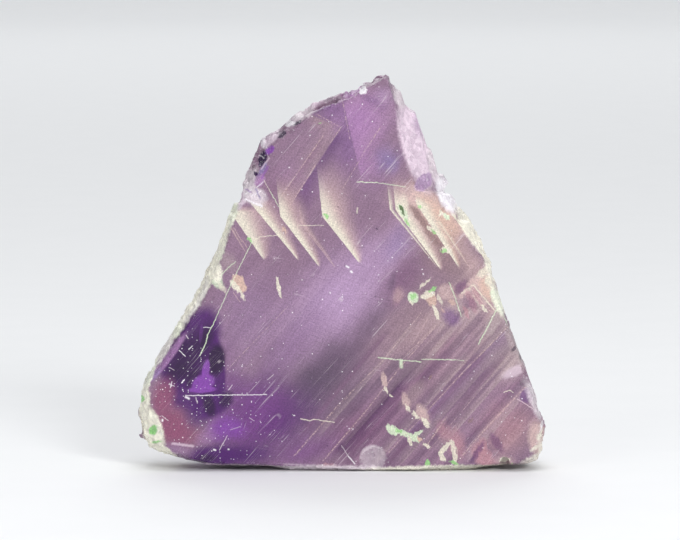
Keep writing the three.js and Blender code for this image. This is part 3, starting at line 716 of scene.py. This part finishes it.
        ("mint", (21.3, 38.2), (22.8, 34.4), 0.16, 0.9), ("mint", (22.8, 34.4), (23.8, 31.3), 0.14, 0.85),
        ("cream", (26.3, 37.5), (30.5, 32.5), 0.22, 0.9), ("shell", (25.5, 37.2), (29.7, 32.2), 0.14, 0.7),
        ("mint", (31.1, 33.2), (27.2, 25.7), 0.2, 0.9), ("cream", (32.4, 16.1), (33.5, 16.5), 0.14, 0.9),
        ("cream", (33.5, 16.5), (34.3, 16), 0.13, 0.8), ("shell", (35.1, 14.7), (38.1, 12.8), 0.14, 0.6),
        ("shell", (-7.7, 49.1), (-1.6, 41.4), 0.13, 0.6), ("shell", (17.9, 51), (25.4, 41.3), 0.13, 0.6),
        ("cream", (22.9, 51.1), (29.9, 41.9), 0.14, 0.6),
        ("shell", (-21.7, 49.1), (-20.1, 46.3), 0.14, 0.6),
        ("shell", (-20.1, 46.7), (-19, 45.1), 0.13, 0.6),
        ("shell", (-21.8, 36.1), (-20.5, 34.2), 0.13, 0.6), ("cream", (3, 53.1), (2.9, 52.1), 0.25, 0.8),
        ("chalk", (-19.5, 54.9), (-17.7, 54.1), 0.3, 0.9), ("chalk", (-17.7, 54.1), (-16.1, 53.5), 0.35, 1),
        ("chalk", (-19.3, 56.3), (-18.1, 56.9), 0.25, 0.9),
        ("chalk", (-18.1, 55.5), (-16.3, 56.5), 0.2, 0.8),
        ("bluebell", (-17.3, 56.9), (-16.5, 55.1), 0.3, 0.7),
        ("violet", (-19.1, 57.7), (-18.3, 56.3), 0.3, 0.5),
        ("chalk", (-17.1, 57.3), (-15.9, 58.3), 0.2, 0.7),
        ("violet", (-16.1, 59.1), (-14.9, 61.3), 0.4, 0.6),
        ("haze", (-16.1, 61.1), (-14.7, 63.1), 0.3, 0.6), ("chalk", (-16.1, 65.5), (-15.3, 64.1), 0.2, 0.7),
    ],
    # dotted bright lines along the zones: start, end, width, strength
    "dotted": [
        ((-9.7, 3.2), (-0.6, 13.8), 0.2, 0.7), ((-0.6, 13.8), (8, 22.3), 0.2, 0.7),
        ((8, 22.3), (15.7, 32), 0.18, 0.7), ((-3.9, 2.2), (4.3, 11.8), 0.22, 0.8),
        ((4.3, 11.8), (11.4, 20.9), 0.2, 0.7), ((11.4, 20.9), (18.6, 29.2), 0.18, 0.7),
        ((9.3, 3.9), (23.3, 19.2), 0.18, 0.7), ((23.3, 19.2), (33.6, 29.8), 0.2, 0.8),
        ((16.9, 5.3), (20.9, 11.1), 0.24, 0.9), ((23.6, 2.7), (28.3, 8.3), 0.2, 0.9),
        ((28.3, 8.3), (37.7, 18.2), 0.2, 0.8), ((-9.9, 3.1), (3.3, 17.6), 0.16, 0.4),
        ((-23.1, 20.6), (-10.9, 33.4), 0.16, 0.5), ((17.3, 4.3), (33.5, 23.6), 0.16, 0.5),
        ((12.7, 23.6), (19.6, 30.4), 0.18, 0.6), ((13.9, 25.6), (17.9, 32.2), 0.16, 0.5),
        ((-3.8, 67.7), (-12.3, 55.3), 0.18, 0.8), ((-0.3, 69.2), (-2.6, 65.9), 0.2, 0.7),
        ((-5.4, 61.7), (-10.4, 53.7), 0.18, 0.8), ((-0.3, 69.2), (-5.2, 71.9), 0.18, 0.6),
        ((0, 74.6), (1.5, 66.8), 0.16, 0.7), ((7.7, 69.4), (4.7, 64.9), 0.18, 0.7),
        ((4.7, 64.9), (0.1, 57.1), 0.16, 0.5),
    ],
    "dots": ((2.4, 1.0), (0.42, 0.62, 0.15, 1.0)),  # noise and ramp that break the lines up
}


def at(x, z):
    return (x, 0.0, z)


def course(start, end):  # a line's direction, the direction to its left, and its length
    acrossX, upZ = end[0] - start[0], end[1] - start[1]
    length = math.hypot(acrossX, upZ) or 0.01  # a line from a point to itself is a dot
    return at(acrossX / length, upZ / length), at(-upZ / length, acrossX / length), length


def blob(tree, point, middle, reach, turn, strength, soft=1.0, under=None, colour=None):
    turn = math.radians(turn)
    return place(tree, softBlob, under=under, point=point, middle=at(*middle),
                 along=at(math.cos(turn) / reach[0], math.sin(turn) / reach[0]),
                 across=at(-math.sin(turn) / reach[1], math.cos(turn) / reach[1]),
                 colour=colour, strength=strength, soft=soft)


def layBlobs(tree, over, point, rows, colours):
    for colour, *shape in rows:
        over = blob(tree, point, *shape, under=over, colour=colours[colour])["over"]
    return over


def layLines(tree, over, point, rows, colours):
    for colour, start, end, width, strength in rows:
        along, _, length = course(start, end)
        over = place(tree, hairline, under=over, point=point, start=at(*start), along=along, length=length,
                     width=width, colour=colours[colour], strength=strength)["over"]
    return over


def layEdges(tree, over, point, rows, ends, colours):
    for colour, start, end, wide, narrow, crisp, strength in rows:
        along, side, length = course(start, end)
        over = place(tree, zoneEdge, under=over, point=point, start=at(*start), along=along, side=side,
                     length=length, wide=wide, narrow=narrow, crisp=crisp, ends=ends, colour=colours[colour],
                     strength=strength)["over"]
    return over


def layFlames(tree, over, point, rows, colours):
    for corner, tip, head, width, edge, body, strength in rows:
        drop = corner[1] - tip[1]
        slope = (tip[0] - corner[0]) / drop
        over = place(tree, flame, under=over, point=point, corner=at(*corner), slope=slope, drop=drop,
                     head=head, width=width, edge=colours[edge], body=colours[body],
                     strength=strength)["over"]
    return over


def makeStonePoint(shear):  # a point in mm, laid flat, and where its growth zone meets the polished face
    tree, _, taken = newGroup("stonePoint", "", "spot:v flat:v grown:v")
    spot = wire(tree, "VectorMath", wire(tree, "TexCoord", out=3), None, None, 1 / mm, operation="SCALE")
    parts = wire(tree, "SeparateXYZ", spot).node.outputs
    depth = maths(tree, "ADD", parts[1], -cadLow.y / mm)
    faceX = maths(tree, "MULTIPLY_ADD", depth, shear[0], parts[0])
    faceZ = maths(tree, "MULTIPLY_ADD", depth, shear[1], parts[2])
    feed(tree, taken["spot"], spot)
    feed(tree, taken["flat"], wire(tree, "CombineXYZ", parts[0], 0.0, parts[2]))
    feed(tree, taken["grown"], wire(tree, "CombineXYZ", faceX, 0.0, faceZ))
    return tree


stonePoint = makeStonePoint(growthLook["shear"])


def paintZones(look, colours):  # the colours that run through the whole stone
    tree, _, taken = newGroup("growthZones", "", "colour:c")
    made = place(tree, stonePoint)
    flat, grown = made["flat"], made["grown"]
    wavy, rough, torn, jagged = [shaken(tree, grown, *look["pushes"][name])
                                 for name in ("wavy", "rough", "torn", "jagged")]
    over = layBlobs(tree, colours["mauve"], wavy, look["areas"], colours)
    over = layEdges(tree, over, rough, look["edges"], look["edgeEnds"], colours)

    stripes = look["stripes"]
    patterns = [ramp(tree, noise(tree, grown, *stripe["noise"]), *stripe["edges"]) for stripe in stripes]
    here = blob(tree, grown, *look["stripedMost"])["mask"]
    for pattern, stripe in zip(patterns, stripes):
        tone = mix(tree, pattern, *stripe["tones"])
        over = mix(tree, maths(tree, "MULTIPLY_ADD", here, *stripe["strength"]), over, tone, "MULTIPLY")

    over = layFlames(tree, over, rough, look["flames"], colours)
    over = layBlobs(tree, over, rough, look["corner"], colours)
    over = layBlobs(tree, over, torn, look["patches"], colours)
    over = layBlobs(tree, over, shaken(tree, flat, *look["pushes"]["crustAndPaintedLight"]), look["crustAndPaintedLight"], colours)
    over = layLines(tree, over, jagged, look["cracks"], colours)
    field, edges = look["dots"]
    dots = ramp(tree, noise(tree, grown, *field), *edges)
    dotted = [("shell", *row) for row in look["dotted"]]
    over = mix(tree, dots, over, layLines(tree, over, rough, dotted, colours))
    feed(tree, taken["colour"], over)
    return tree


zones = paintZones(growthLook, stoneColours)


faceLook = {
    "seeThrough": 0.04,
    "relief": 0.02 * mm,
    "grit": (3.4, 2.0, 0.6),  # the stone's grain: scale, detail, roughness
    "gritTones": ((0.25, 0.75), (0.60, 0.57, 0.60, 1), (1.14, 1.14, 1.14, 1)),
    "shine": (0.2, 0.8, 0.36, 0.58),
    "sanding": ((2.6, 1.0, 0.5, -22, 0.1), (2.6, 1.0, 0.5, 66, 0.1)),  # two crossed sets of marks
    "sandingTones": ((0.7, 1.3), (0.90, 0.89, 0.90, 1), (1.10, 1.10, 1.10, 1)),
    "flecks": ((0.5, 0.08, 0.10, 0.3), (1.1, 0.13, 0.03, 0.4)),  # scale, size, share, more where most
    "fleckStrength": 1.5,
    "fleckedMost": ((-28.5, 14.6), (16, 20), 60, 1.0, 0.6),
    # broken hair scratches: turn, along, scale, how often, strength
    "scratches": ((48, 0.015, 1.3, 0.55, 0.4), (-12, 0.03, 0.9, 0.4, 0.3), (71, 0.03, 0.9, 0.4, 0.3)),
    "hair": {"detail": 1.0, "width": 0.007, "breakScale": 0.4, "breakAlong": 0.4, "fade": 0.15},
    # clouded spots with a mottled skin: as the patches
    "clouded": [
        ("frost", (6.1, 2.8), (2.9, 2.9), 0, 0.5, 0.25), ("haze", (34.5, 20.3), (3.6, 1.3), 25, 0.5, 0.5),
        ("frost", (-10.5, 1.1), (9, 0.8), 0, 0.4, 0.8),
    ],
    "cloudPush": (2.2, 0.35, 3.0, (1.1, 0.5, 1.0)),
    # short strokes scratched or chipped into the polished face: as the cracks
    "strokes": [
        ("chalk", (-32.7, 24.5), (-31.5, 23.3), 0.14, 0.9),
        ("frost", (-31.3, 27.6), (-30.9, 26.9), 0.16, 0.8),
        ("chalk", (-30.8, 24.7), (-30.1, 25.4), 0.14, 0.8),
        ("frost", (-34.6, 21), (-33.7, 20.5), 0.12, 0.7),
        ("chalk", (-34.8, 17.7), (-33.7, 17.3), 0.14, 0.8),
        ("chalk", (-34.2, 18.2), (-34.5, 17), 0.14, 0.8), ("chalk", (-32.2, 18), (-31.7, 18.6), 0.2, 1),
        ("frost", (-36.2, 11.3), (-35, 10.4), 0.14, 0.8), ("chalk", (-36.1, 10.5), (-36.1, 10.3), 0.32, 1),
        ("frost", (-24.7, 4.4), (-23.1, 7.3), 0.14, 0.8), ("chalk", (-25.8, 4.5), (-25.5, 4.4), 0.3, 1),
        ("chalk", (-22.9, 4.5), (-22.8, 4.5), 0.24, 0.8),
        ("chalk", (-31.4, 15.1), (-30.8, 14.8), 0.38, 0.9),
        ("frost", (-29.4, 15), (-29.1, 13.9), 0.18, 0.7),
        ("frost", (-18.7, 10.9), (-17.7, 10.3), 0.13, 0.7),
        ("frost", (-22.5, 8.5), (-20.5, 9.1), 0.14, 0.5), ("haze", (-34.1, 5.7), (-30, 5.2), 0.42, 0.6),
        ("frost", (-22.9, 16.5), (-22.1, 17.5), 0.14, 0.8),
        ("frost", (-15, 18.6), (-13.8, 19.6), 0.13, 0.6), ("chalk", (-0.6, 13.8), (-0.5, 13.8), 0.2, 0.9),
        ("chalk", (1.3, 8.7), (1.4, 8.7), 0.2, 0.8), ("chalk", (2.1, 8.7), (2.1, 8.6), 0.2, 0.8),
        ("chalk", (-9.8, 11.4), (-9.6, 11.4), 0.22, 0.9), ("night", (-10.2, 11.6), (-10.1, 11.5), 0.2, 0.9),
        ("night", (-27.6, 28.7), (-26.7, 28.7), 0.2, 0.9), ("chalk", (-6.5, 67.6), (-6.5, 67.6), 0.2, 0.8),
        ("chalk", (-8.1, 63), (-8.1, 63), 0.2, 0.8), ("chalk", (-10.7, 61.2), (-10.6, 61.2), 0.2, 0.9),
        ("chalk", (-8.1, 56.8), (-8.1, 56.8), 0.22, 0.9), ("leaf", (-4.7, 70), (-4.3, 70.1), 0.16, 0.6),
        ("chalk", (0.8, 41.4), (1.2, 41.2), 0.34, 0.9), ("chalk", (1.7, 40.4), (1.9, 40.2), 0.34, 0.9),
        ("chalk", (-2.5, 36.2), (-2.4, 36), 0.18, 0.8), ("chalk", (7.2, 39.7), (7.3, 39.7), 0.18, 0.7),
        ("chalk", (16.1, 39.9), (16.2, 39.8), 0.22, 0.8), ("ink", (-1, 53.3), (-0.8, 53.3), 0.26, 0.6),
        ("ink", (6.8, 49), (7, 48.8), 0.22, 0.7), ("ink", (6.5, 35.4), (6.7, 35.4), 0.18, 0.6),
        ("ink", (-3.1, 5.3), (-3, 5.2), 0.22, 0.7), ("frost", (-0.2, 5.3), (1.2, 3.1), 0.14, 0.6),
        ("chalk", (1.2, 3.1), (2.5, 1.6), 0.2, 0.8), ("chalk", (5.5, 1.9), (6.1, 3.3), 0.16, 0.8),
        ("chalk", (6.3, 2.9), (7.1, 1.3), 0.16, 0.8), ("haze", (35.1, 14.7), (38.1, 12.8), 0.14, 0.5),
    ],
    "strokePush": (1.6, 0.12, 2.0, (1.2, 0.5, 1.0)),
}


def linear(tree, value, *edges):
    return ramp(tree, value, *edges, kind="LINEAR")


def shade(tree, over, pattern, edges, dark, light):  # darkens and lightens a colour by a pattern
    amount = linear(tree, pattern, *edges) if edges else pattern
    return mix(tree, 1.0, over, mix(tree, amount, dark, light), "MULTIPLY")


def startWear(name):  # what wears a surface takes the colour under it, and gives colour, shine and height
    tree, given, taken = newGroup(name, "under:c", "colour:c shine:f height:f")
    return tree, given["under"], taken, place(tree, stonePoint)


def endWear(tree, taken, colour, shine, height):
    for name, value in (("colour", colour), ("shine", shine), ("height", height)):
        feed(tree, taken[name], value)
    return tree


def scratches(tree, point, hair, turn, along, scale, often):  # thin broken lines in one direction
    field = noise(tree, point, scale, hair["detail"], turn=turn, along=along)
    line = ramp(tree, maths(tree, "ABSOLUTE", maths(tree, "SUBTRACT", field, 0.5)), hair["width"], 0.0)
    breaks = noise(tree, point, hair["breakScale"], turn=turn, along=hair["breakAlong"])
    return times(tree, line, ramp(tree, breaks, 1 - often, 1 - often + hair["fade"]))


def wearFace(look, colours):  # grain, sanding marks, flecks and strokes of the polished face
    tree, under, taken, made = startWear("faceWear")
    flat = made["flat"]
    grit = noise(tree, flat, *look["grit"])
    over = shade(tree, under, grit, *look["gritTones"])
    sanding = maths(tree, "ADD", *[noise(tree, flat, *marks) for marks in look["sanding"]])
    over = shade(tree, over, sanding, *look["sandingTones"])
    over = layBlobs(tree, over, shaken(tree, flat, *look["cloudPush"]), look["clouded"], colours)

    often = blob(tree, flat, *look["fleckedMost"])["mask"]
    for scale, size, share, more in look["flecks"]:
        fleck = place(tree, flecks, point=flat, scale=scale, size=size,
                      share=maths(tree, "MULTIPLY_ADD", often, more, share))["mask"]
        over = mix(tree, times(tree, fleck, look["fleckStrength"]), over, colours["chalk"])
    for *row, strength in look["scratches"]:
        line = scratches(tree, flat, look["hair"], *row)
        over = mix(tree, times(tree, line, strength), over, colours["frost"])
    over = layLines(tree, over, shaken(tree, flat, *look["strokePush"]), look["strokes"], colours)
    shine = linear(tree, grit, *look["shine"])
    return endWear(tree, taken, over, shine, maths(tree, "ADD", grit, sanding))


rimLook = {
    "seeThrough": 0.2,
    "relief": 0.12 * mm,
    "facets": 1.1,
    "facetPush": (0.8, 0.6),
    # each facet is made lighter or darker at random: painted light and shade, as facets catch the light
    "facetLightAndShade": (None, (0.90, 0.88, 0.91, 1), (1.22, 1.22, 1.22, 1)),
    "facetDepth": 0.4,
    "grit": (2.4, 3.0, 0.7),
    # crumbs: from where to where in the grit they come in, and how strong; the white ones are also painted
    # glints
    "crumbs": {"chalk": (0.58, 0.70, 0.0, 0.7), "plum": (0.42, 0.32, 0.0, 0.3)},
    "shine": (0.0, 1.0, 0.16, 0.5),
}


def wearRim(look, colours):  # small broken facets made lighter and darker at random as painted light and shade, and crumbs of the rim, the white ones also painted glints
    tree, under, taken, made = startWear("rimBreak")
    spot = made["spot"]
    facets = place(tree, cells, point=shaken(tree, spot, *look["facetPush"]), scale=look["facets"])
    # painted light and shade: each facet lighter or darker at random
    over = shade(tree, under, facets["chance"], *look["facetLightAndShade"])
    grit = noise(tree, spot, *look["grit"])
    # white crumbs that are also painted glints, and dark plum crumbs
    for colour, edges in look["crumbs"].items():
        over = mix(tree, ramp(tree, grit, *edges), over, colours[colour])
    shine = linear(tree, facets["other"], *look["shine"])
    height = maths(tree, "MULTIPLY_ADD", facets["away"], look["facetDepth"], grit)
    return endWear(tree, taken, over, shine, height)


backLook = {
    "seeThrough": 0.04,
    "relief": 0.06 * mm,
    "hub": (-70.0, 0.0, 150.0),  # the middle of the saw blade that left the marks
    "marks": 6.0,  # how close they are
    "wander": (0.3, 3.0),  # noise scale, and how far they stray
    "markTones": ((-1.0, 1.0), (0.9, 0.89, 0.9, 1), (1.08, 1.08, 1.08, 1)),
    "markDepth": 0.5,
    "fading": ((0.12, 3.0), (0.35, 0.65)),  # noise in which the marks come and go, and its edges
    "grit": (3.0, 2.0, 0.6),
    "frosting": (0.3, 0.7, 0.22, 0.5),
    "shine": (0.3, 0.7, 0.5, 0.7),
}


def wearBack(look, colours):  # a sawn back: frosted, with the blade's shallow curved marks
    tree, under, taken, made = startWear("sawMarks")
    spot = made["spot"]
    fromHub = vector(tree, "DISTANCE", made["flat"], look["hub"])
    scale, stray = look["wander"]
    turns = maths(tree, "MULTIPLY_ADD", noise(tree, spot, scale), stray, times(tree, fromHub, look["marks"]))
    ridges = maths(tree, "SINE", turns)
    field, edges = look["fading"]
    ridges = times(tree, ridges, ramp(tree, noise(tree, spot, *field), *edges))
    grit = noise(tree, spot, *look["grit"])
    over = mix(tree, ramp(tree, grit, *look["frosting"]), under, colours["frost"])
    over = shade(tree, over, ridges, *look["markTones"])
    shine = linear(tree, grit, *look["shine"])
    return endWear(tree, taken, over, shine, maths(tree, "MULTIPLY_ADD", ridges, look["markDepth"], grit))


fluorite = {"ior": 1.434, "bump": 0.6}


def makeStoneMaterial(name, wear, look):
    material = bpy.data.materials.new(name)
    material.use_nodes = True
    tree = material.node_tree
    shader = tree.nodes["Principled BSDF"]
    shader.inputs["IOR"].default_value = fluorite["ior"]
    shader.inputs["Transmission Weight"].default_value = look["seeThrough"]
    worn = place(tree, wear, under=place(tree, zones)["colour"])
    feed(tree, shader.inputs["Base Color"], worn["colour"])
    feed(tree, shader.inputs["Roughness"], worn["shine"])
    bump = tree.nodes.new("ShaderNodeBump")
    bump.inputs["Distance"].default_value = look["relief"]
    bump.inputs["Strength"].default_value = fluorite["bump"]
    feed(tree, bump.inputs["Height"], worn["height"])
    feed(tree, shader.inputs["Normal"], bump.outputs["Normal"])
    return material


def dressStone(stone, shape):
    for name, wear, look in (("polishedFace", wearFace, faceLook), ("sawnBack", wearBack, backLook),
                             ("brokenRim", wearRim, rimLook)):
        stone.data.materials.append(makeStoneMaterial(name, wear(look, stoneColours), look))
    near, facing = shape["flatWithin"], shape["facing"]
    for face in stone.data.polygons:
        onFace = face.center.y < cadLow.y + near and face.normal.y < -facing
        onBack = face.center.y > cadHigh.y - near and face.normal.y > facing
        face.material_index = 0 if onFace else 1 if onBack else 2


dressStone(stone, stoneShape)
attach(stone, "root")
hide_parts("fluorite_slab")
print("stone dressed")

studio = {
    "floorColour": paint(238, 239, 240),
    "floorRadius": 2.4,
    "floorSides": 96,
    "bend": 0.7,  # the paper curls up round the floor's edge with this radius
    "bendSteps": 10,
    "fibreColour": paint(215, 217, 220),
    "fibres": ((60.0, 3.0), (0.3, 0.7, 0.0, 0.04)),  # noise, and where and how strongly they show
    "roughness": 0.85,
    "specular": 0.2,
    # each light: bearing from the front, height in degrees, distance, size, strength on a white card
    "key": (24, 22, 1.1, 0.32, 0.5),
    "fill": (-38, 20, 1.1, 0.5, 0.12),
    "top": (10, 78, 1.2, 0.9, 0.36),
    "backdrop": (180, 40, 2.6, 2.4, 0.34),
    "world": (paint(240, 242, 245), 0.46),
}


def makePaper(setup):
    material = bpy.data.materials.new("paperSweep")
    material.use_nodes = True
    tree = material.node_tree
    shader = tree.nodes["Principled BSDF"]
    field, edges = setup["fibres"]
    fibres = ramp(tree, noise(tree, wire(tree, "TexCoord", out=3), *field), *edges)
    feed(tree, shader.inputs["Base Color"], mix(tree, fibres, setup["floorColour"], setup["fibreColour"]))
    shader.inputs["Roughness"].default_value = setup["roughness"]
    shader.inputs["Specular IOR Level"].default_value = setup["specular"]
    return material


def makeStage(setup):
    reach, rise = setup["floorRadius"], 0.0
    bpy.ops.mesh.primitive_circle_add(vertices=setup["floorSides"], radius=reach, fill_type="NGON")
    floor = bpy.context.object
    floor.name = "studioFloor"
    bpy.ops.object.mode_set(mode="EDIT")
    bpy.ops.mesh.select_mode(type="EDGE")
    bpy.ops.mesh.select_all(action="SELECT")
    for step in range(1, setup["bendSteps"] + 1):
        angle = math.pi / 2 * step / setup["bendSteps"]
        newReach = setup["floorRadius"] + setup["bend"] * math.sin(angle)
        newRise = setup["bend"] * (1 - math.cos(angle))
        bpy.ops.mesh.extrude_edges_move(TRANSFORM_OT_translate={"value": (0, 0, newRise - rise)})
        bpy.ops.transform.resize(value=(newReach / reach, newReach / reach, 1))
        reach, rise = newReach, newRise
    bpy.ops.mesh.select_all(action="SELECT")
    bpy.ops.mesh.normals_make_consistent(inside=True)
    bpy.ops.object.mode_set(mode="OBJECT")
    bpy.ops.object.shade_smooth()
    floor.data.materials.append(makePaper(setup))
    floor.select_set(False)


def softLight(name, bearing, height, distance, size, strength):
    data = bpy.data.lights.new(name, "AREA")
    data.shape = "DISK"
    data.size = size
    data.energy = strength * (math.pi * distance) ** 2  # what makes a white card facing it that bright
    light = bpy.data.objects.new(name, data)
    bpy.context.scene.collection.objects.link(light)
    turn, lift = math.radians(bearing), math.radians(height)
    outward = Vector((math.sin(turn) * math.cos(lift), -math.cos(turn) * math.cos(lift), math.sin(lift)))
    light.location = Vector((0, 0, cadHigh.z / 2)) + outward * distance
    light.rotation_euler = outward.to_track_quat("Z", "Y").to_euler()


def lightStudio(setup):
    for name in ("key", "fill", "top", "backdrop"):
        softLight(name + "Light", *setup[name])
    world = bpy.data.worlds.new("paleRoom")
    bpy.context.scene.world = world
    world.use_nodes = True
    colour, strength = setup["world"]
    background = world.node_tree.nodes["Background"]
    background.inputs["Color"].default_value = colour
    background.inputs["Strength"].default_value = strength
    bpy.context.scene.view_settings.view_transform = "Standard"


makeStage(studio)
lightStudio(studio)
print("studio lit")
